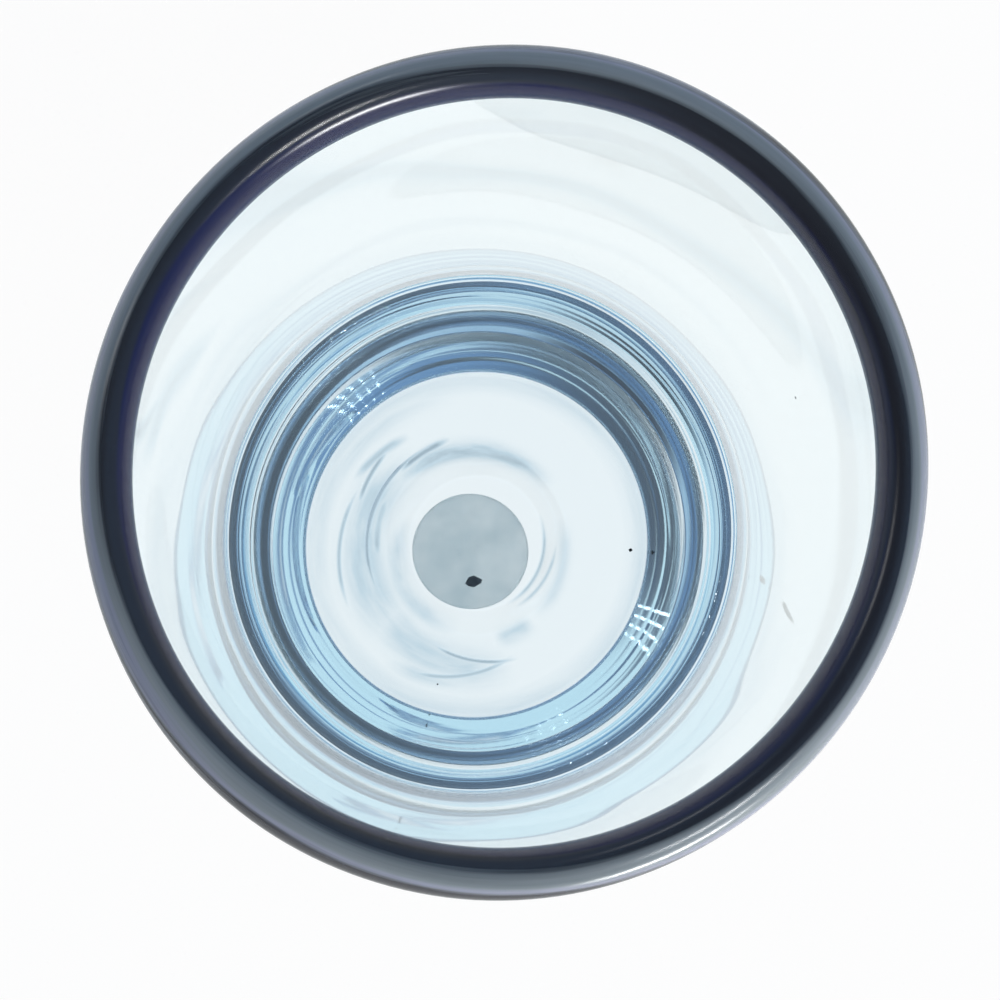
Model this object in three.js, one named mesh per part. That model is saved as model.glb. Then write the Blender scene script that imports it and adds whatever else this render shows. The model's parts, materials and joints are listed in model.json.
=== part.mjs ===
// A small hand-blown liqueur glass: a clear tapered bowl on a thick, ringed foot, with a dark lip
// wound round its mouth and a pontil wad under the foot. Millimetres, +Z up, standing on z = 0.
import * as THREE from "three";

// Overall sizes
const glassHeight = 70;
const mouthDiameter = 60; // outside of the lip
const footTopDiameter = 47.2; // outside of the top ring, where the bowl sits on the foot
const heelDiameter = 32; // outside of the heel that the glass stands on

// Lip wrap: the dark trail of glass round the mouth
const lipHeight = 4.2; // from its seat on the wall to its top
const lipProud = 0.25; // how far it stands out from the wall, inside and outside

// Bowl: the blown bubble
const wallAtMouth = 2.9;
const wallAtFloor = 1.5;
const bowlFloorThickness = 3;
const innerCornerRadius = 1.5;

// Foot: the solid gather under the bowl, and the rings wound round it
const heelHeight = 1; // the ledge that carries the rings
const heelRound = 0.7;
const ringHeights = [5, 4, 4]; // the lowest ring first
const ringBulge = 0.1; // how far each ring swells past the line from heel to foot top
const ringDepth = 2.4; // how deep the rings lie inside that line

// Pontil wad: the disc of glass left where the iron held the foot
const pontilDiameter = 10.7;
const pontilThickness = 1;
const pontilEdgeRound = 0.3;
const pontilLift = 0.4; // table to the wad's underside
const pontilAside = -0.6; // along X from the foot's middle, where the iron happened to be set
const pontilForward = -0.75; // along Y
const recessMargin = 1; // least room round the wad in its hollow

const seatClearance = 0.3; // between the foot's core and the rings round it

// Fineness of the turned surfaces
const turnSteps = 72;
const cornerSteps = 6;
const lipSteps = 14;
const ringSteps = 8;
const roundSteps = 3;

// Radii and levels that the pieces share
const mouthRadius = mouthDiameter / 2;
const footTopRadius = footTopDiameter / 2;
const heelRadius = heelDiameter / 2;
const pontilRadius = pontilDiameter / 2;
const lipWidth = wallAtMouth + 2 * lipProud;
const lipSeat = glassHeight - lipHeight;
const footHeight = ringHeights.reduce((level, height) => level + height, heelHeight);
const floorLevel = footHeight + bowlFloorThickness;
const recessDepth = pontilLift + pontilThickness;
const recessRadius = pontilRadius + Math.hypot(pontilAside, pontilForward) + recessMargin;

// Outside of the foot at a height, without the rings' swell
function footRadius(level) {
  const share = (level - heelHeight) / (footHeight - heelHeight);
  return heelRadius + (footTopRadius - heelRadius) * share;
}

// Outside of the bowl at a height: straight from the foot's top to the lip's seat
function outerRadius(level) {
  const share = (level - footHeight) / (lipSeat - footHeight);
  return footTopRadius + (mouthRadius - lipProud - footTopRadius) * share;
}

// Inside of the bowl's straight wall at a height
function innerRadius(level) {
  const low = outerRadius(floorLevel) - wallAtFloor;
  const high = outerRadius(lipSeat) - wallAtMouth;
  const share = (level - floorLevel) / (lipSeat - floorLevel);
  return low + (high - low) * share;
}

// Points along an arc, from one angle to another, both ends included
function arcPoints(centreX, centreY, radius, fromAngle, toAngle, steps) {
  const points = [];
  for (let i = 0; i <= steps; i += 1) {
    const angle = fromAngle + ((toAngle - fromAngle) * i) / steps;
    points.push([centreX + radius * Math.cos(angle), centreY + radius * Math.sin(angle)]);
  }
  return points;
}

// Turns a profile of [radius, height] points round the Z axis
function turned(profile) {
  const points = profile.map(([radius, height]) => new THREE.Vector2(radius, height));
  const geometry = new THREE.LatheGeometry(points, turnSteps);
  geometry.rotateX(Math.PI / 2);
  return geometry;
}

function lipGeometry() {
  const topRadius = lipWidth / 2;
  const outside = mouthRadius;
  const inside = mouthRadius - lipWidth;
  const crown = arcPoints(outside - topRadius, glassHeight - topRadius, topRadius, 0, Math.PI, lipSteps);
  return turned([[outside, lipSeat], ...crown, [inside, lipSeat], [outside, lipSeat]]);
}

// The corner between floor and wall is tangent to both, so it follows the wall's slope.
function bowlGeometry() {
  const slope = (innerRadius(lipSeat) - innerRadius(floorLevel)) / (lipSeat - floorLevel);
  const lean = Math.atan(slope);
  const cornerLevel = floorLevel + innerCornerRadius;
  const cornerX = innerRadius(cornerLevel) - innerCornerRadius / Math.cos(lean);
  const corner = arcPoints(cornerX, cornerLevel, innerCornerRadius, -lean, -Math.PI / 2, cornerSteps);
  return turned([
    [0, footHeight],
    [footTopRadius, footHeight],
    [outerRadius(lipSeat), lipSeat],
    [innerRadius(lipSeat), lipSeat],
    ...corner,
    [0, floorLevel],
  ]);
}

// The foot's core is a cone that the rings surround; its heel carries them on a ledge.
function footGeometry() {
  const heel = arcPoints(heelRadius - heelRound, heelRound, heelRound, -Math.PI / 2, 0, roundSteps);
  return turned([
    [0, recessDepth],
    [recessRadius, recessDepth],
    [recessRadius, 0],
    ...heel,
    [heelRadius, heelHeight],
    [footRadius(heelHeight) - ringDepth, heelHeight],
    [footRadius(footHeight) - ringDepth, footHeight],
    [0, footHeight],
  ]);
}

// A ring's outside is an arc over its stretch of the line from heel to foot top.
function ringGeometry(index) {
  const bottom = ringHeights.slice(0, index).reduce((level, height) => level + height, heelHeight);
  const top = bottom + ringHeights[index];
  const low = new THREE.Vector2(footRadius(bottom), bottom);
  const high = new THREE.Vector2(footRadius(top), top);
  const chord = high.clone().sub(low);
  const halfChord = chord.length() / 2;
  const arcRadius = (halfChord ** 2 + ringBulge ** 2) / (2 * ringBulge);
  const inward = new THREE.Vector2(-chord.y, chord.x).normalize();
  const centre = low.clone().add(high).multiplyScalar(0.5).addScaledVector(inward, arcRadius - ringBulge);
  const from = low.clone().sub(centre).angle();
  const halfTurn = Math.asin(halfChord / arcRadius);
  const outside = arcPoints(centre.x, centre.y, arcRadius, from, from + 2 * halfTurn, ringSteps);
  const seat = seatClearance - ringDepth;
  return turned([
    [low.x + seat, bottom],
    ...outside,
    [high.x + seat, top],
    [low.x + seat, bottom],
  ]);
}

function pontilGeometry() {
  const edge = arcPoints(
    pontilRadius - pontilEdgeRound,
    pontilLift + pontilEdgeRound,
    pontilEdgeRound,
    -Math.PI / 2,
    0,
    roundSteps,
  );
  const wad = turned([[0, pontilLift], ...edge, [pontilRadius, recessDepth], [0, recessDepth]]);
  wad.translate(pontilAside, pontilForward, 0);
  return wad;
}

const clearGlass = new THREE.MeshStandardMaterial({ color: 0xe3f2f6, roughness: 0.05, metalness: 0 });
const darkBlueGlass = new THREE.MeshStandardMaterial({ color: 0x1b2138, roughness: 0.08, metalness: 0 });
const frostedGlass = new THREE.MeshStandardMaterial({ color: 0xaebfc8, roughness: 0.55, metalness: 0 });

function piece(name, geometry, material) {
  const mesh = new THREE.Mesh(geometry, material);
  mesh.name = name;
  return mesh;
}

const glass = new THREE.Group();
glass.add(piece("lip_wrap", lipGeometry(), darkBlueGlass));
glass.add(piece("bowl", bowlGeometry(), clearGlass));
glass.add(piece("foot", footGeometry(), clearGlass));
for (let index = 0; index < ringHeights.length; index += 1) {
  glass.add(piece(`foot_ring_${index + 1}`, ringGeometry(index), clearGlass));
}
glass.add(piece("pontil_wad", pontilGeometry(), frostedGlass));

export default glass;
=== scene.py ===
import json
import math
import random

import bpy
from mathutils import Matrix, Vector

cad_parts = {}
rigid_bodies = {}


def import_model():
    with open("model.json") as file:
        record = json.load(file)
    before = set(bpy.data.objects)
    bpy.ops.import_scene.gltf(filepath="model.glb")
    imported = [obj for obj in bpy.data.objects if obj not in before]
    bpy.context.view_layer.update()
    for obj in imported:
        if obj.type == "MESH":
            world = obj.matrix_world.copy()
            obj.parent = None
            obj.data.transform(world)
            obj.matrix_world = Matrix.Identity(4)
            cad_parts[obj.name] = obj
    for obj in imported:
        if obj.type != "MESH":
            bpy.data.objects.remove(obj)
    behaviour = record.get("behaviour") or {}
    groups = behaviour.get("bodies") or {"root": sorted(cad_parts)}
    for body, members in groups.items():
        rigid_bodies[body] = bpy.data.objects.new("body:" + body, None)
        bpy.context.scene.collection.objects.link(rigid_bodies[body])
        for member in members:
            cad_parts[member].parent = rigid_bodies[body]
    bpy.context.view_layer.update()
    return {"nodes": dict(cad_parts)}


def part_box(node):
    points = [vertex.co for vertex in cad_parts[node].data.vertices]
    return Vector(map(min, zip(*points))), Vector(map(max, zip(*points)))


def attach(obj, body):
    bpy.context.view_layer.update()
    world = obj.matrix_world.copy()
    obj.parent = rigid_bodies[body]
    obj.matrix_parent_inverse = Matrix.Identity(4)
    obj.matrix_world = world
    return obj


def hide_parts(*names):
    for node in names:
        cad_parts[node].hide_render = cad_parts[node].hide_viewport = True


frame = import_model()
mm = 0.001
print("frame loaded:", sorted(frame["nodes"]))

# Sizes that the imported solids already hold, in millimetres
lipLow, lipHigh = (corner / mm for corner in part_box("lip_wrap"))
wadLow, wadHigh = (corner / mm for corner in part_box("pontil_wad"))
wadRadius = (wadHigh.x - wadLow.x) / 2
wadMiddle = ((wadLow + wadHigh) / 2).to_2d()
ringTops = [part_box("foot_ring_%d" % number)[1] / mm for number in (1, 2, 3)]


# Helpers
def linearColour(hexText):
    channels = [int(hexText[i:i + 2], 16) / 255 for i in (1, 3, 5)]
    return tuple(c / 12.92 if c <= 0.04045 else ((c + 0.055) / 1.055) ** 2.4 for c in channels) + (1.0,)


def addNode(tree, kind, settings=None, links=None):
    node = tree.nodes.new(kind)
    for name, value in (settings or {}).items():
        if name == "stops":    # a ramp's positions and colours, from left to right
            marks = node.color_ramp.elements
            for index, (position, shade) in ((0, value[0]), (1, value[-1])):
                marks[index].position, marks[index].color = position, linearColour(shade)
            for position, shade in value[1:-1]:
                marks.new(position).color = linearColour(shade)
        elif isinstance(name, int) or name in node.inputs:
            node.inputs[name].default_value = value
        else:
            setattr(node, name, value)
    for name, source in (links or {}).items():
        tree.links.new(source, node.inputs[name])
    return node


def deselectAll():
    if bpy.context.object and bpy.context.object.mode != "OBJECT":
        bpy.ops.object.mode_set(mode="OBJECT")
    bpy.ops.object.select_all(action="DESELECT")


# A profile is drawn as by hand: one point, extruded along lines and spun along arcs, in the XZ plane.
# The last number of each line or arc is how many cuts it gets.
def startProfile(name, x, z):
    deselectAll()
    bpy.ops.mesh.primitive_plane_add(size=2 * mm)
    piece = bpy.context.object
    piece.name = piece.data.name = name
    bpy.ops.object.mode_set(mode="EDIT")
    bpy.ops.mesh.merge(type="CENTER")
    bpy.ops.transform.translate(value=(x * mm, 0, z * mm))
    return piece, [x, z]


def lineTo(pen, x, z, cuts=1):
    step = ((x - pen[0]) / cuts * mm, 0, (z - pen[1]) / cuts * mm)
    for _ in range(cuts):
        bpy.ops.mesh.extrude_region_move(TRANSFORM_OT_translate={"value": step})
    pen[:] = [x, z]


def arcTo(pen, centreX, centreZ, degrees, cuts):
    turn = math.radians(degrees)
    centre = (centreX * mm, 0, centreZ * mm)
    bpy.ops.mesh.spin(steps=cuts, angle=turn, center=centre, axis=(0, 1, 0), use_auto_merge=False)
    dx, dz = pen[0] - centreX, pen[1] - centreZ
    pen[:] = [
        centreX + dx * math.cos(turn) - dz * math.sin(turn),
        centreZ + dx * math.sin(turn) + dz * math.cos(turn),
    ]


weldGap = 0.002    # mm, closes the seam and the poles of a turned piece


def spinProfile(piece, turns, creaseAngle):
    bpy.ops.mesh.select_all(action="SELECT")
    bpy.ops.mesh.spin(steps=turns, angle=math.tau, center=(0, 0, 0), axis=(0, 0, 1))
    bpy.ops.mesh.select_all(action="SELECT")
    bpy.ops.mesh.remove_doubles(threshold=weldGap * mm)
    bpy.ops.mesh.normals_make_consistent(inside=False)
    bpy.ops.object.mode_set(mode="OBJECT")
    bpy.ops.object.shade_smooth_by_angle(angle=math.radians(creaseAngle))


def pushSurface(piece, name, size, octaves, direction, height, middle, group=""):
    # a cloud texture moves the points, and the modifier is applied at once
    clouds = bpy.data.textures.get(name) or bpy.data.textures.new(name, "CLOUDS")
    clouds.noise_scale = size * mm
    clouds.noise_depth = octaves
    clouds.cloud_type = "COLOR" if direction == "RGB_TO_XYZ" else "GRAYSCALE"
    push = piece.modifiers.new(name, "DISPLACE")
    push.texture = clouds
    push.texture_coords = "LOCAL"
    push.direction = direction
    push.strength = height * mm
    push.mid_level = middle
    push.vertex_group = group
    deselectAll()
    piece.select_set(True)
    bpy.context.view_layer.objects.active = piece
    bpy.ops.object.modifier_apply(modifier=push.name)


# Hand-made unevenness: one soft field moves every piece alike, and fades out at the table.
handWork = {
    "lumpSize": 26.0,      # mm between one swelling and the next
    "lumpHeight": 0.15,    # mm
    "fadeFrom": 0.6,       # mm above the table
    "fadeTo": 8.0,
    "oval": 0.013,         # half of the mouth's difference between long and short axis
    "ovalAngle": 62.0,     # degrees from +X to the long axis
}


def makeUneven(piece):
    h = handWork
    group = piece.vertex_groups.new(name="handMade")
    span = h["fadeTo"] - h["fadeFrom"]
    for vertex in piece.data.vertices:
        share = min(1, max(0, (vertex.co.z / mm - h["fadeFrom"]) / span))
        group.add([vertex.index], share * share * (3 - 2 * share), "REPLACE")
    pushSurface(
        piece, "handLumps", h["lumpSize"], octaves=1,
        direction="RGB_TO_XYZ", height=h["lumpHeight"], middle=0.5, group=group.name,
    )
    piece.vertex_groups.clear()
    bpy.ops.object.mode_set(mode="EDIT")
    bpy.ops.mesh.select_all(action="SELECT")
    bpy.ops.transform.resize(
        value=(1 + h["oval"], 1 - h["oval"], 1),
        orient_type="GLOBAL",
        orient_matrix=Matrix.Rotation(math.radians(h["ovalAngle"]), 3, "Z"),
        orient_matrix_type="GLOBAL",
        center_override=(0, 0, 0),
    )
    bpy.ops.object.mode_set(mode="OBJECT")


# Clear body: bowl, foot and rings, fused hot into one piece of glass
clearBody = {
    "heelR": 16.0, "heelRound": 0.7, "heelHeight": 1.0,
    "ringBulges": (0.03, 0.2, 0.15),    # the lowest ring is worked almost flat
    "ringsFrom": 15.5,                  # past this radius a point lies on the rings' outside
    "wallAtMouth": 2.9, "wallAtFloor": 1.5,
    "floorZ": 17.0, "cornerR": 1.5,
    "lipProud": 0.25, "seam": 0.03,     # how far the lip stands out, and the hair between lip and wall
    "hollowR": 5.8, "hollowSlope": 31, "hollowRound": 1.0,    # the ground hollow that the wad sits in
    "undersideCuts": 74, "ringCuts": 40, "turns": 224, "creaseAngle": 15,
}
heelEdge = clearBody["heelR"] - clearBody["heelRound"]    # where the flat underside ends
lipWidth = clearBody["wallAtMouth"] + 2 * clearBody["lipProud"]


def ringArc(pen, x, z, bulge):
    # a shallow arc from the pen to the point given, swelling outward by the bulge
    dx, dz = x - pen[0], z - pen[1]
    half = math.hypot(dx, dz) / 2
    radius = (half ** 2 + bulge ** 2) / (2 * bulge)
    back = (radius - bulge) / (2 * half)
    centreX, centreZ = pen[0] + dx / 2 - dz * back, pen[1] + dz / 2 + dx * back
    arcTo(pen, centreX, centreZ, 2 * math.degrees(math.asin(half / radius)), clearBody["ringCuts"])


def hollowSide(pen):
    # from the hollow's flat top, round and down its gentle side, to the table
    slope, bend = clearBody["hollowSlope"], clearBody["hollowRound"]
    arcTo(pen, pen[0], pen[1] - bend, -slope, 6)
    fall = pen[1] - bend * (1 - math.cos(math.radians(slope)))
    lineTo(pen, pen[0] + fall / math.tan(math.radians(slope)), pen[1] - fall, 14)
    arcTo(pen, pen[0] + bend * math.sin(math.radians(slope)), bend, slope, 6)


def buildClearBody():
    b = clearBody
    seatZ = lipLow.z - b["seam"]
    seatR = lipHigh.x - b["lipProud"]
    piece, pen = startProfile("clear_body", 0, wadHigh.z)
    lineTo(pen, b["hollowR"], wadHigh.z, 8)
    hollowSide(pen)
    lineTo(pen, heelEdge, 0, b["undersideCuts"])
    arcTo(pen, heelEdge, b["heelRound"], 90, 8)
    lineTo(pen, b["heelR"], b["heelHeight"])
    for ringTop, bulge in zip(ringTops, b["ringBulges"]):
        ringArc(pen, ringTop.x, ringTop.z, bulge)
    footR, footZ = pen
    floorR = footR + (seatR - footR) * (b["floorZ"] - footZ) / (seatZ - footZ) - b["wallAtFloor"]
    lineTo(pen, seatR, seatZ, 32)
    lineTo(pen, seatR - b["wallAtMouth"], seatZ, 4)
    # the corner between wall and floor is tangent to both
    slope = (pen[0] - floorR) / (seatZ - b["floorZ"])
    lean = math.atan(slope)
    cornerZ = b["floorZ"] + b["cornerR"]
    cornerX = floorR + slope * b["cornerR"] - b["cornerR"] / math.cos(lean)
    lineTo(pen, cornerX + b["cornerR"] * math.cos(lean), cornerZ - b["cornerR"] * math.sin(lean), 28)
    arcTo(pen, cornerX, cornerZ, math.degrees(lean) - 90, 14)
    lineTo(pen, 0, b["floorZ"], 20)
    spinProfile(piece, b["turns"], b["creaseAngle"])
    return piece


# Fine lines that the jacks drew round the rings, each wandering a little and fading along its way
ringLines = {
    "count": 26, "seed": 4,
    "width": (0.13, 0.24), "depth": (-0.010, 0.014),    # mm; below nought it is a ridge
    "wander": 0.35, "secondWave": 0.4, "fade": 0.6,
    "margin": 0.2, "runOut": 0.4,    # mm left free at both edges, and faded over next to them
}


def drawRingLines(piece):
    # these move single points, which no modelling tool does along such free lines
    r = ringLines
    pick = random.Random(r["seed"])
    low, high = clearBody["heelHeight"] + r["margin"], ringTops[2].z - r["margin"]
    drawn = []
    for number in range(r["count"]):
        level = low + (high - low) * (number + pick.random()) / r["count"]
        width, depth = pick.uniform(*r["width"]), pick.uniform(*r["depth"])
        drawn.append((level, width, depth, pick.uniform(0, math.tau), pick.uniform(0, math.tau)))
    for vertex in piece.data.vertices:
        place = vertex.co / mm
        if not low < place.z < high or place.xy.length < clearBody["ringsFrom"]:
            continue
        turn = math.atan2(place.y, place.x)
        dent = 0
        for level, width, depth, start, crest in drawn:
            sway = math.sin(turn - start) + r["secondWave"] * math.sin(2 * turn + start)
            strength = 1 - r["fade"] * (0.5 - 0.5 * math.cos(turn - crest))
            dent += depth * strength * math.exp(-((place.z - level - r["wander"] * sway) / width) ** 2)
        edge = min(1, (place.z - low) / r["runOut"], (high - place.z) / r["runOut"])
        vertex.co.xy -= place.xy.normalized() * dent * edge * mm
    piece.data.update()


# Marks that the tools left in the underside while it was soft: shallow grooves round the pontil, each with
# painted shade along its line
toolMarks = {
    # radius at one end and at the other, angles of the two ends, width and depth
    "longLeft": {"radii": (10.6, 9.0), "angles": (103, 213), "width": 0.15, "depth": 0.20},
    "outerLeft": {"radii": (11.9, 12.2), "angles": (148, 206), "width": 0.20, "depth": 0.15},
    "upperLeft": {"radii": (12.2, 11.2), "angles": (128, 158), "width": 0.22, "depth": 0.18},
    "below": {"radii": (8.9, 10.7), "angles": (246, 295), "width": 0.15, "depth": 0.20},
    "farBelow": {"radii": (12.2, 10.3), "angles": (239, 294), "width": 0.22, "depth": 0.15},
    "right": {"radii": (5.9, 7.2), "angles": (305, 388), "width": 0.16, "depth": 0.14},
    "farRight": {"radii": (6.6, 8.0), "angles": (310, 366), "width": 0.15, "depth": 0.12},
}
# Painted shade in the same place: soft grey arcs and patches where the glass that was pushed about bends the
# light away
clouding = {
    "overPontil": {"radii": (9.4, 9.4), "angles": (38, 142), "width": 0.75, "weight": 1.0},
    "besidePontil": {"radii": (6.8, 7.0), "angles": (148, 264), "width": 0.9, "weight": 0.5},
    "left": {"radii": (10.2, 9.6), "angles": (118, 236), "width": 2.0, "weight": 0.6},
    "leftStreak": {"radii": (12.1, 12.7), "angles": (118, 149), "width": 0.4, "weight": 0.8},
    "upperStroke": {"radii": (10.5, 9.8), "angles": (100, 133), "width": 0.32, "weight": 1.3},
    "nearStreak": {"radii": (9.3, 8.4), "angles": (142, 186), "width": 0.4, "weight": 0.8},
    "below": {"radii": (9.2, 11.0), "angles": (206, 292), "width": 1.7, "weight": 0.55},
    "farBelow": {"radii": (12.2, 11.2), "angles": (230, 287), "width": 0.8, "weight": 0.45},
    "right": {"radii": (8.5, 8.8), "angles": (316, 382), "width": 0.6, "weight": 0.35},
    "rightBelow": {"radii": (8.3, 8.7), "angles": (286, 313), "width": 0.7, "weight": 0.6},
    "edge": {"radii": (14.4, 14.0), "angles": (95, 215), "width": 0.9, "weight": 0.35},
}
underside = {
    "arcEnds": 0.25,             # share of an arc's length over which each end fades
    "grooveDepth": 0.2,          # mm, at which a groove shows its full painted shade
    "marksEnd": 0.3,             # mm at the heel that no mark reaches
    "flatHeight": 0.01,          # mm; what is lower than this is the flat face, which takes the grooves
    "heelReach": 1.8, "heelShade": 0.35,       # painted shade in a band round the heel's edge: mm to both sides, and its grey
    "scuffReach": 1.2, "scuffHeight": 0.5,     # wear on the heel: mm to both sides, and mm upward
    "ringShade": (0.45, 0.15, 0.20), "ringsOver": 0.1,    # painted shade on the rings' tooled outsides, the lowest first
    # the hollow's edge is no true circle: mm, waves in a turn, angle of a crest
    "waves": ((0.22, 1, 105), (0.12, 3, 40), (0.06, 7, 12)),
    # mm past the hollow's flat top, to both sides of that, and left free at the heel
    "waveFrom": 2.0, "waveWidth": 1.6, "waveEnd": 1.0,
}
# attributes: painted shade, painted shade along the grooves, roughness from wear, and the rings' satin
paintedNames = ("clouding", "toolLines", "scuffing", "ringSatin")


def arcShare(arc, radius, angle):
    # 1 on the arc's line, fading to both sides and towards its ends
    start, end = arc["angles"]
    along = ((angle - start) % 360) / (end - start)
    if along >= 1:
        return 0.0
    line = arc["radii"][0] + (arc["radii"][1] - arc["radii"][0]) * along
    fade = min(1, along / underside["arcEnds"], (1 - along) / underside["arcEnds"])
    return fade * math.exp(-((radius - line) / arc["width"]) ** 2)


def workUnderside(piece):
    u = underside
    mesh = piece.data
    for name in paintedNames:
        mesh.attributes.new(name, "FLOAT", "POINT")
    # painted shade, painted shade along the grooves, wear and satin, point by point
    clouds, lines, scuffs, rings = (mesh.attributes[name].data for name in paintedNames)
    hollowTop = wadHigh.z * 1.01    # with a hair to spare
    ringsEnd = ringTops[2].z + u["ringsOver"]
    for vertex in mesh.vertices:
        spot = vertex.index
        place = vertex.co.to_2d() / mm
        radius, height = place.length, vertex.co.z / mm
        if clearBody["heelHeight"] < height < ringsEnd and radius > clearBody["ringsFrom"]:
            rings[spot].value = 1.0
            # painted shade on each ring's outside
            clouds[spot].value = u["ringShade"][sum(height > ringTop.z for ringTop in ringTops[:2])]
        if height > hollowTop:
            continue
        if radius < heelEdge - u["waveEnd"]:
            turn = math.atan2(place.y, place.x)
            wave = 0
            for size, count, crest in u["waves"]:
                wave += size * math.cos(count * (turn - math.radians(crest)))
            share = math.exp(-((radius - clearBody["hollowR"] - u["waveFrom"]) / u["waveWidth"]) ** 2)
            vertex.co.xy += place.normalized() * wave * share * mm
        if height < u["scuffHeight"]:
            scuffs[spot].value = max(0, 1 - abs(radius - heelEdge) / u["scuffReach"])
        # painted shade in a band round the heel's edge
        shadeAtHeel = u["heelShade"] * max(0, 1 - abs(radius - heelEdge) / u["heelReach"])
        clouds[spot].value = shadeAtHeel
        if radius > heelEdge - u["marksEnd"]:
            continue
        fromWad = vertex.co.to_2d() / mm - wadMiddle
        angle = math.degrees(math.atan2(fromWad.y, fromWad.x))
        # painted shade in soft arcs round the wad, and along the grooves
        shades = [arc["weight"] * arcShare(arc, fromWad.length, angle) for arc in clouding.values()]
        depth = max(arc["depth"] * arcShare(arc, fromWad.length, angle) for arc in toolMarks.values())
        clouds[spot].value = max(*shades, shadeAtHeel)
        lines[spot].value = depth / u["grooveDepth"]
        if height < u["flatHeight"]:
            vertex.co.z += depth * mm
    mesh.update()


# Lip wrap: the dark trail fused round the mouth
lipWrap = {
    "turns": 192, "creaseAngle": 30,
    "beadFrom": 140, "beadR": 2.6,    # where on the crown the fuller inner side begins, and its radius
    # share of the way from the drink's side to the outside, and the glass's shade there
    # paler towards the outside as painted sheen, with a painted dark line at the outer edge
    "shades": (
        (0.09, "#12174a"), (0.18, "#2b2e36"), (0.44, "#353a40"), (0.58, "#8f9695"),
        (0.78, "#adb3b1"), (0.88, "#bcbdca"), (0.95, "#8a8c90"), (1.0, "#4a474b"),
    ),
    "strandsInTurn": 5.0, "strandWidth": 0.8,                # mm across
    "strandRange": (0.3, 0.7), "strandShift": 0.12,          # the noise used, and the share that it shifts
    "roughness": 0.20, "clear": 0.3, "soak": "#bcbfc8", "soakDensity": 500.0,
}


def buildLipWrap():
    proud, mouthR = clearBody["lipProud"], lipHigh.x
    crownR = lipWidth / 2
    crownX, crownZ = mouthR - crownR, lipHigh.z - crownR
    seatR = mouthR - lipWidth + proud
    piece, pen = startProfile("lip_wrap_glass", crownX, lipLow.z)
    lineTo(pen, mouthR - proud, lipLow.z, 2)
    lineTo(pen, mouthR, lipLow.z + proud, 2)
    lineTo(pen, mouthR, crownZ, 5)
    arcTo(pen, crownX, crownZ, lipWrap["beadFrom"], 24)
    reach = lipWrap["beadR"] / crownR
    beadX, beadZ = pen[0] + (crownX - pen[0]) * reach, pen[1] + (crownZ - pen[1]) * reach
    under = math.degrees(math.acos((beadX - seatR) / lipWrap["beadR"]))
    arcTo(pen, beadX, beadZ, 180 + under - lipWrap["beadFrom"], 20)
    lineTo(pen, seatR, lipLow.z, 2)
    lineTo(pen, crownX, lipLow.z, 2)
    spinProfile(piece, lipWrap["turns"], lipWrap["creaseAngle"])
    return piece


# Pontil wad: the rough disc where the iron broke away
pontilWad = {
    "edgeRound": 0.3, "gap": 0.12, "turns": 96, "creaseAngle": 40,
    "chipHeight": 0.12, "chipSize": 1.8, "chipMiddle": 0.7,
    "bruiseSize": 2.5, "bruises": ((0.35, "#d3e1e6"), (0.70, "#f0f7f9")),
    "roughness": (0.35, 0.6), "clear": 0.85,
}


def buildPontilWad():
    p = pontilWad
    edge = wadRadius - p["edgeRound"]
    top = wadHigh.z - p["gap"]
    piece, pen = startProfile("pontil_wad_glass", 0, wadLow.z)
    lineTo(pen, edge, wadLow.z, 14)
    arcTo(pen, edge, wadLow.z + p["edgeRound"], 90, 5)
    lineTo(pen, wadRadius, top - p["edgeRound"])
    arcTo(pen, edge, top - p["edgeRound"], 90, 5)
    lineTo(pen, 0, top, 14)
    spinProfile(piece, p["turns"], p["creaseAngle"])
    pushSurface(
        piece, "pontilChips", p["chipSize"], octaves=3,
        direction="Z", height=p["chipHeight"], middle=p["chipMiddle"],
    )
    bpy.ops.object.mode_set(mode="EDIT")
    bpy.ops.mesh.select_all(action="SELECT")
    bpy.ops.transform.translate(value=(wadMiddle.x * mm, wadMiddle.y * mm, 0))
    bpy.ops.object.mode_set(mode="OBJECT")
    return piece


# Stones: specks of unmelted grit, one caught on the wad and three in the glass
stones = {
    "onWad": {"place": (-0.3, -3.5, 1.2), "size": (0.72, 0.5, 0.08), "turn": -20, "facets": 1},
    "atHeel": {"place": (14.1, -0.5, 0.5), "size": (0.16, 0.15, 0.12), "turn": 0, "facets": 2},
    "nearHeel": {"place": (-3.5, -12.8, 0.5), "size": (0.07, 0.08, 0.06), "turn": 40, "facets": 2},
    "inWall": {"place": (24.1, 8.3, 45.4), "size": (0.14, 0.12, 0.14), "turn": 0, "facets": 2},
}
# how far the points of a stone 1 mm in radius are pushed about, and what its grit looks like
stoneGrit = {
    "push": 0.3, "even": 0.3, "outward": 0.4,
    "grain": 0.2, "shades": ((0.0, "#0b0b0d"), (1.0, "#2b2724")), "roughness": 0.8,
}


def buildStone(name, stone, seed):
    g = stoneGrit
    deselectAll()
    bpy.ops.mesh.primitive_ico_sphere_add(subdivisions=stone["facets"], radius=mm)
    piece = bpy.context.object
    piece.name = piece.data.name = "stone_" + name
    bpy.ops.object.mode_set(mode="EDIT")
    bpy.ops.transform.vertex_random(offset=g["push"] * mm, uniform=g["even"], normal=g["outward"], seed=seed)
    bpy.ops.transform.resize(value=stone["size"])
    bpy.ops.transform.rotate(value=math.radians(stone["turn"]), orient_axis="Z", center_override=(0, 0, 0))
    bpy.ops.transform.translate(value=[v * mm for v in stone["place"]])
    bpy.ops.object.mode_set(mode="OBJECT")
    return piece


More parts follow.
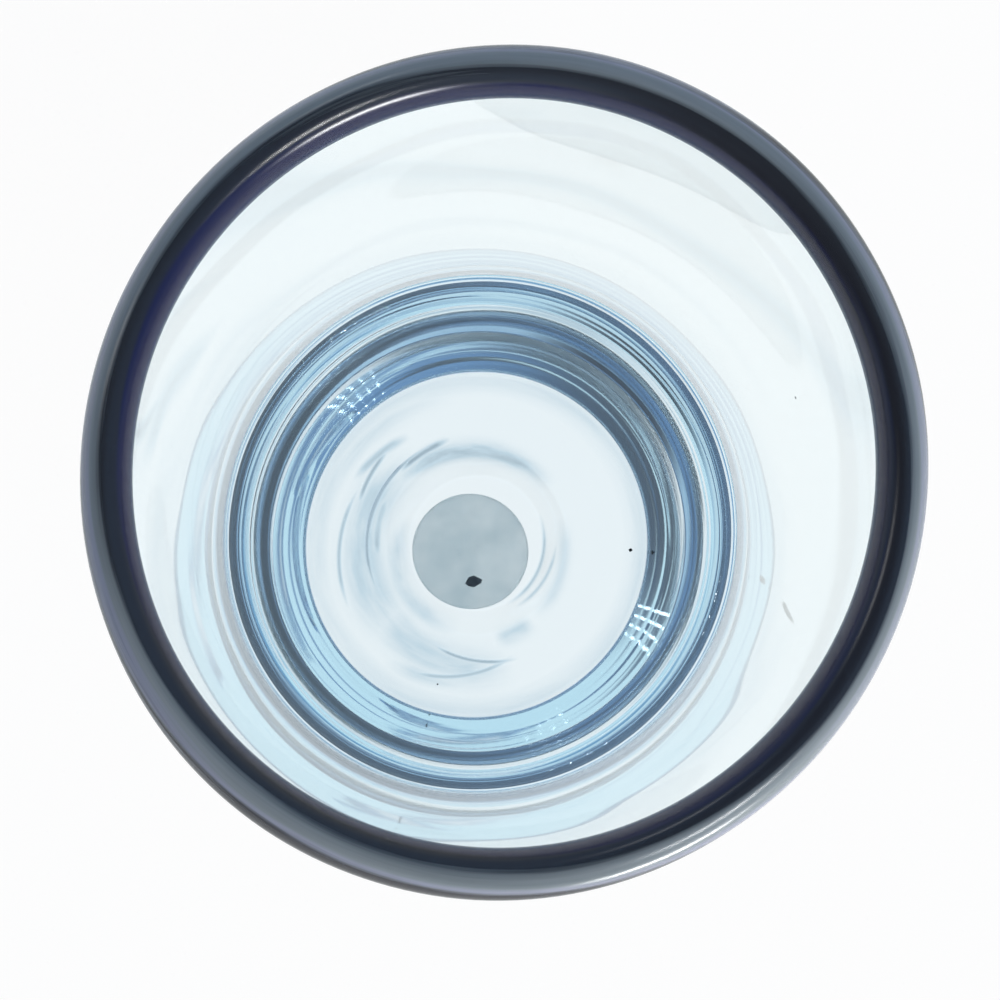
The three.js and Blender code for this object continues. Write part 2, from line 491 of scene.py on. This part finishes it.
# Materials
glassIor = 1.52    # soda-lime glass
clearGlass = {
    "polish": 0.02, "satin": 0.06, "scuff": 0.25,    # roughness all over, and what rings and heel add to it
    # the grey-blue of the painted shade, from none to full
    "clouds": ((0.0, "#ffffff"), (0.5, "#b4ccdb"), (1.0, "#66798a")),
    "swirlsInTurn": 9.0, "swirlWidth": 1.5,          # mm across
    "swirlRange": (0.35, 0.62), "swirlLeast": 0.5,   # the noise used, and the least that it leaves
    "soak": "#c2edfb", "soakDensity": 19.0,          # the aqua of thick glass, per metre
}


def newMaterial(name):
    material = bpy.data.materials.new(name)
    material.use_nodes = True
    material.node_tree.nodes.clear()
    return material, material.node_tree


def polarPlace(tree):
    # distance from the glass's axis in metres, and the direction from it
    place = addNode(tree, "ShaderNodeTexCoord")
    flat = addNode(tree, "ShaderNodeVectorMath", {"operation": "MULTIPLY", 1: (1, 1, 0)}, {
        0: place.outputs["Object"],
    })
    radius = addNode(tree, "ShaderNodeVectorMath", {"operation": "LENGTH"}, {0: flat.outputs[0]})
    toward = addNode(tree, "ShaderNodeVectorMath", {"operation": "NORMALIZE"}, {0: flat.outputs[0]})
    return radius.outputs["Value"], toward.outputs[0]


def strandNoise(tree, radius, toward, perTurn, width):
    # noise drawn out along the turn, as in glass that was wound or swirled while hot
    around = addNode(tree, "ShaderNodeVectorMath", {"operation": "SCALE", "Scale": perTurn / math.tau}, {
        0: toward,
    })
    outward = addNode(tree, "ShaderNodeMath", {"operation": "MULTIPLY", 1: 1 / (width * mm)}, {0: radius})
    lift = addNode(tree, "ShaderNodeCombineXYZ", None, {"Z": outward.outputs[0]})
    strand = addNode(tree, "ShaderNodeVectorMath", {"operation": "ADD"}, {
        0: around.outputs[0], 1: lift.outputs[0],
    })
    noise = addNode(tree, "ShaderNodeTexNoise", {"Scale": 1.0, "Detail": 4.0, "Roughness": 0.55}, {
        "Vector": strand.outputs[0],
    })
    return noise.outputs["Fac"]


def clearGlassMaterial():
    # Hand-blown soda-lime glass: clear, aqua where light crosses much of it, scuffed underneath, with painted
    # shade under the foot and on the rings
    g = clearGlass
    material, tree = newMaterial("handBlownSodaGlass")
    radius, toward = polarPlace(tree)
    shadeShare, line, scuff, satin = (
        addNode(tree, "ShaderNodeAttribute", {"attribute_name": name}).outputs["Fac"] for name in paintedNames
    )
    swirl = addNode(tree, "ShaderNodeMapRange", {
        "From Min": g["swirlRange"][0], "From Max": g["swirlRange"][1], "To Min": g["swirlLeast"],
    }, {"Value": strandNoise(tree, radius, toward, g["swirlsInTurn"], g["swirlWidth"])})
    # painted shade broken up by the swirls, then the painted shade along the grooves
    soft = addNode(tree, "ShaderNodeMath", {"operation": "MULTIPLY"}, {0: shadeShare, 1: swirl.outputs[0]})
    share = addNode(tree, "ShaderNodeMath", {"operation": "MAXIMUM"}, {0: soft.outputs[0], 1: line})
    colour = addNode(tree, "ShaderNodeValToRGB", {"stops": g["clouds"]}, {0: share.outputs[0]})
    wound = addNode(tree, "ShaderNodeMath", {"operation": "MULTIPLY_ADD", 1: g["satin"], 2: g["polish"]}, {
        0: satin,
    })
    rough = addNode(tree, "ShaderNodeMath", {"operation": "MULTIPLY_ADD", 1: g["scuff"]}, {
        0: scuff, 2: wound.outputs[0],
    })
    shader = addNode(tree, "ShaderNodeBsdfPrincipled", {"IOR": glassIor, "Transmission Weight": 1.0}, {
        "Base Color": colour.outputs[0], "Roughness": rough.outputs[0],
    })
    soak = addNode(tree, "ShaderNodeVolumeAbsorption", {
        "Color": linearColour(g["soak"]), "Density": g["soakDensity"],
    })
    addNode(tree, "ShaderNodeOutputMaterial", None, {"Surface": shader.outputs[0], "Volume": soak.outputs[0]})
    return material


def lipGlassMaterial():
    # Cobalt trail glass: nearly black towards the drink; the paler smoky grey on the outside is painted sheen
    # for the light that the outer slope mirrors
    w = lipWrap
    material, tree = newMaterial("cobaltTrailGlass")
    radius, toward = polarPlace(tree)
    across = addNode(tree, "ShaderNodeMapRange", {
        "From Min": (lipHigh.x - lipWidth) * mm, "From Max": lipHigh.x * mm,
    }, {"Value": radius})
    # long soft strands that run round with the trail
    shift = addNode(tree, "ShaderNodeMapRange", {
        "From Min": w["strandRange"][0], "From Max": w["strandRange"][1],
        "To Min": -w["strandShift"], "To Max": w["strandShift"],
    }, {"Value": strandNoise(tree, radius, toward, w["strandsInTurn"], w["strandWidth"])})
    share = addNode(tree, "ShaderNodeMath", {"operation": "ADD"}, {0: across.outputs[0], 1: shift.outputs[0]})
    colour = addNode(tree, "ShaderNodeValToRGB", {"stops": w["shades"]}, {0: share.outputs[0]})
    shader = addNode(tree, "ShaderNodeBsdfPrincipled", {
        "Roughness": w["roughness"], "IOR": glassIor, "Transmission Weight": w["clear"],
    }, {"Base Color": colour.outputs[0]})
    soak = addNode(tree, "ShaderNodeVolumeAbsorption", {
        "Color": linearColour(w["soak"]), "Density": w["soakDensity"],
    })
    addNode(tree, "ShaderNodeOutputMaterial", None, {"Surface": shader.outputs[0], "Volume": soak.outputs[0]})
    return material


def pontilMaterial():
    # Broken and lightly ground glass: pale grey, rough and not quite clear, with paler bruises
    p = pontilWad
    material, tree = newMaterial("groundPontilGlass")
    place = addNode(tree, "ShaderNodeTexCoord")
    bruises = addNode(tree, "ShaderNodeTexNoise", {"Scale": 1 / (p["bruiseSize"] * mm), "Detail": 4.0}, {
        "Vector": place.outputs["Object"],
    })
    colour = addNode(tree, "ShaderNodeValToRGB", {"stops": p["bruises"]}, {0: bruises.outputs["Fac"]})
    rough = addNode(tree, "ShaderNodeMapRange", {"To Min": p["roughness"][0], "To Max": p["roughness"][1]}, {
        "Value": bruises.outputs["Fac"],
    })
    shader = addNode(tree, "ShaderNodeBsdfPrincipled", {"IOR": glassIor, "Transmission Weight": p["clear"]}, {
        "Base Color": colour.outputs[0], "Roughness": rough.outputs[0],
    })
    addNode(tree, "ShaderNodeOutputMaterial", None, {"Surface": shader.outputs[0]})
    return material


def stoneMaterial():
    # Unmelted grit: dull, almost black, with a little brown
    material, tree = newMaterial("darkGrit")
    place = addNode(tree, "ShaderNodeTexCoord")
    grain = addNode(tree, "ShaderNodeTexNoise", {"Scale": 1 / (stoneGrit["grain"] * mm), "Detail": 2.0}, {
        "Vector": place.outputs["Object"],
    })
    colour = addNode(tree, "ShaderNodeValToRGB", {"stops": stoneGrit["shades"]}, {0: grain.outputs["Fac"]})
    shader = addNode(tree, "ShaderNodeBsdfPrincipled", {"Roughness": stoneGrit["roughness"]}, {
        "Base Color": colour.outputs[0],
    })
    addNode(tree, "ShaderNodeOutputMaterial", None, {"Surface": shader.outputs[0]})
    return material


# Stage: a pale board under a soft sky
stage = {
    "boardSize": 20.0, "boardGap": 0.25,    # metres across, and mm under the glass
    "boardColour": "#f2f4f5", "boardRough": 0.9, "boardShare": 0.96,
    # what the glass shows of the board, by mm from the axis: shade under the foot's flare, then open light
    "boardShades": ((16.4, "#ffffff"), (17.6, "#96b6d2"), (23.0, "#96b6d2"), (27.0, "#faffff")),
    "shadeReach": 100.0,
    "sky": ((0.0, "#dbe6ee"), (0.5, "#8fa7c9"), (0.95, "#7a90b3")),    # from the horizon up
    # dull patches that the bands mirror: the way to each, and degrees from its middle to its core and its end
    "dullColour": "#5f5c60",
    "dullPatches": (
        {"toward": (-0.40, -0.14, 0.91), "core": 12.0, "fade": 48.0},
        {"toward": (-0.66, -0.66, 0.30), "core": 10.0, "fade": 36.0},
    ),
}


def buildFloor():
    deselectAll()
    bpy.ops.mesh.primitive_plane_add(size=stage["boardSize"], location=(0, 0, -stage["boardGap"] * mm))
    board = bpy.context.object
    board.name = "paleBoard"
    material, tree = newMaterial("paleBoardPaint")
    paint = addNode(tree, "ShaderNodeBsdfPrincipled", {
        "Base Color": linearColour(stage["boardColour"]), "Roughness": stage["boardRough"],
    })
    place = addNode(tree, "ShaderNodeTexCoord")
    radius = addNode(tree, "ShaderNodeVectorMath", {"operation": "LENGTH"}, {0: place.outputs["Object"]})
    reach = addNode(tree, "ShaderNodeMath", {"operation": "MULTIPLY", 1: 1 / (stage["shadeReach"] * mm)}, {
        0: radius.outputs["Value"],
    })
    shades = [(ring / stage["shadeReach"], colour) for ring, colour in stage["boardShades"]]
    shade = addNode(tree, "ShaderNodeValToRGB", {"stops": shades}, {0: reach.outputs[0]})
    through = addNode(tree, "ShaderNodeEmission", {"Strength": 1.0}, {"Color": shade.outputs[0]})
    white = addNode(tree, "ShaderNodeEmission", {"Color": linearColour("#ffffff"), "Strength": 1.0})
    path = addNode(tree, "ShaderNodeLightPath")
    straight = addNode(tree, "ShaderNodeMath", {"operation": "MULTIPLY", 1: stage["boardShare"]}, {
        0: path.outputs["Is Camera Ray"],
    })
    mirrored = addNode(tree, "ShaderNodeMath", {"operation": "MAXIMUM"}, {
        0: path.outputs["Is Glossy Ray"], 1: path.outputs["Is Transmission Ray"],
    })
    seen = addNode(tree, "ShaderNodeMixShader", None, {
        0: straight.outputs[0], 1: paint.outputs[0], 2: white.outputs[0],
    })
    mix = addNode(tree, "ShaderNodeMixShader", None, {
        0: mirrored.outputs[0], 1: seen.outputs[0], 2: through.outputs[0],
    })
    addNode(tree, "ShaderNodeOutputMaterial", None, {"Surface": mix.outputs[0]})
    board.data.materials.append(material)


def buildSky():
    world = bpy.data.worlds.new("softSky")
    bpy.context.scene.world = world
    world.use_nodes = True
    tree = world.node_tree
    tree.nodes.clear()
    place = addNode(tree, "ShaderNodeTexCoord").outputs["Generated"]
    split = addNode(tree, "ShaderNodeSeparateXYZ", None, {0: place})
    colour = addNode(tree, "ShaderNodeValToRGB", {"stops": stage["sky"]}, {0: split.outputs["Z"]}).outputs[0]
    for patch in stage["dullPatches"]:
        toward = Vector(patch["toward"]).normalized()
        angle = addNode(tree, "ShaderNodeVectorMath", {"operation": "DOT_PRODUCT", 1: toward}, {0: place})
        near = addNode(tree, "ShaderNodeMapRange", {
            "interpolation_type": "SMOOTHSTEP",
            "From Min": math.cos(math.radians(patch["fade"])),
            "From Max": math.cos(math.radians(patch["core"])),
        }, {"Value": angle.outputs["Value"]})
        mix = addNode(tree, "ShaderNodeMix", {"data_type": "RGBA", 7: linearColour(stage["dullColour"])}, {
            0: near.outputs[0], 6: colour,
        })
        colour = mix.outputs[2]
    sky = addNode(tree, "ShaderNodeBackground", {"Strength": 1.0}, {"Color": colour})
    addNode(tree, "ShaderNodeOutputWorld", None, {"Surface": sky.outputs[0]})


# Lamps: a soft box that draws the long light on the rim, and three panels of small lamps; metres and watts
softBox = {"place": (0.29, -0.54, 0.16), "size": (0.33, 0.14), "power": 5.0, "softEdge": 0.3}
panels = {
    "near": {"place": (0.25, -0.30, 0.50), "rows": 4, "columns": 5, "power": 0.03},
    "left": {"place": (-0.34, 0.18, 0.50), "rows": 5, "columns": 4, "power": 0.005},
    "far": {"place": (-0.12, 0.37, 0.50), "rows": 3, "columns": 4, "power": 0.005},
}
panelLamp = {"pitch": 0.026, "size": 0.006}
lampAim = Vector((0, 0, 0.03))


def addLamp(name, place, size, power):
    deselectAll()
    bpy.ops.object.light_add(type="AREA", location=place)
    lamp = bpy.context.object
    lamp.name = name
    lamp.data.shape = "RECTANGLE"
    lamp.data.size, lamp.data.size_y = size
    lamp.data.energy = power
    lamp.rotation_euler = (lampAim - Vector(place)).to_track_quat("-Z", "Y").to_euler()
    return lamp


def softenEdges(lamp, edge):
    # a diffuser is brightest in its middle: the light falls off towards all four edges
    lamp.data.use_nodes = True
    tree = lamp.data.node_tree
    tree.nodes.clear()
    place = addNode(tree, "ShaderNodeNewGeometry")
    split = addNode(tree, "ShaderNodeSeparateXYZ", None, {0: place.outputs["Parametric"]})
    falls = []
    for axis in ("X", "Y"):
        inward = addNode(tree, "ShaderNodeMath", {"operation": "PINGPONG", 1: 0.5}, {0: split.outputs[axis]})
        falls.append(addNode(tree, "ShaderNodeMapRange", {
            "interpolation_type": "SMOOTHSTEP", "From Max": edge,
        }, {"Value": inward.outputs[0]}))
    both = addNode(tree, "ShaderNodeMath", {"operation": "MULTIPLY"}, {
        0: falls[0].outputs[0], 1: falls[1].outputs[0],
    })
    glow = addNode(tree, "ShaderNodeEmission", None, {"Strength": both.outputs[0]})
    addNode(tree, "ShaderNodeOutputLight", None, {"Surface": glow.outputs[0]})


def buildLamps():
    box = addLamp("softBox", softBox["place"], softBox["size"], softBox["power"])
    softenEdges(box, softBox["softEdge"])
    box.visible_transmission = False    # the glass mirrors it but doesn't show it from behind
    side = (panelLamp["size"], panelLamp["size"])
    for name, panel in panels.items():
        middle = Vector(panel["place"])
        turn = (lampAim - middle).to_track_quat("-Z", "Y")
        for row in range(panel["rows"]):
            for column in range(panel["columns"]):
                across, along = column - (panel["columns"] - 1) / 2, row - (panel["rows"] - 1) / 2
                place = middle + turn @ (Vector((across, along, 0)) * panelLamp["pitch"])
                addLamp("%s_%d_%d" % (name, row, column), place, side, panel["power"])


# Camera: close above the mouth, a little to one side
photoCamera = {
    "rimPixels": 434.0,            # the mouth's radius in the picture
    "rimPlace": (508.0, 463.0),    # the mouth's middle in the picture
    "pictureSide": 1000.0,
    "above": 200.0,                # mm over the mouth
    "besidePixels": 360.0,         # sideways distance, in the picture's pixels at the mouth
    "beside": (-0.36, -0.933),
    "sensor": 36.0, "clipStart": 5.0,    # mm
}


def buildCamera():
    c = photoCamera
    perPixel = lipHigh.x / c["rimPixels"]
    side = Vector((c["beside"][0], c["beside"][1], 0)).normalized() * c["besidePixels"] * perPixel
    mouth = Vector((0, 0, lipHigh.z))
    place = (mouth + side + Vector((0, 0, c["above"]))) * mm
    middle = c["pictureSide"] / 2
    offset = Vector((middle - c["rimPlace"][0], c["rimPlace"][1] - middle, 0)) * perPixel
    ahead = ((mouth + offset) * mm - place).normalized()
    right = ahead.cross(Vector((0, 1, 0))).normalized()
    up = right.cross(ahead).normalized()
    pose = Matrix((right, up, -ahead)).transposed().to_4x4()
    pose.translation = place
    deselectAll()
    bpy.ops.object.camera_add()
    camera = bpy.context.object
    camera.name = "photoCamera"
    camera.matrix_world = pose
    camera.data.sensor_width = c["sensor"]
    camera.data.lens = c["above"] / perPixel / c["pictureSide"] * c["sensor"]
    camera.data.clip_start = c["clipStart"] * mm
    bpy.context.scene.camera = camera


buildCamera()
buildSky()
buildLamps()
buildFloor()
print("stage and camera ready")

body = buildClearBody()
drawRingLines(body)
workUnderside(body)
makeUneven(body)
body.data.materials.append(clearGlassMaterial())
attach(body, "root")
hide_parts("bowl", "foot", "foot_ring_1", "foot_ring_2", "foot_ring_3")
print("clear body:", len(body.data.polygons), "faces")

lip = buildLipWrap()
makeUneven(lip)
lip.data.materials.append(lipGlassMaterial())
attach(lip, "root")
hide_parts("lip_wrap")
print("lip wrap:", len(lip.data.polygons), "faces")

wad = buildPontilWad()
wad.data.materials.append(pontilMaterial())
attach(wad, "root")
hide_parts("pontil_wad")
print("pontil wad:", len(wad.data.polygons), "faces")

grit = stoneMaterial()
for seed, (name, stone) in enumerate(stones.items()):
    chip = buildStone(name, stone, seed)
    chip.data.materials.append(grit)
    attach(chip, "root")
print("stones:", len(stones))

# Light crosses many faces of glass before it reaches the eye
scene = bpy.context.scene
scene.view_settings.view_transform = "Standard"
scene.cycles.max_bounces = 24
scene.cycles.transmission_bounces = 24
scene.cycles.glossy_bounces = 12
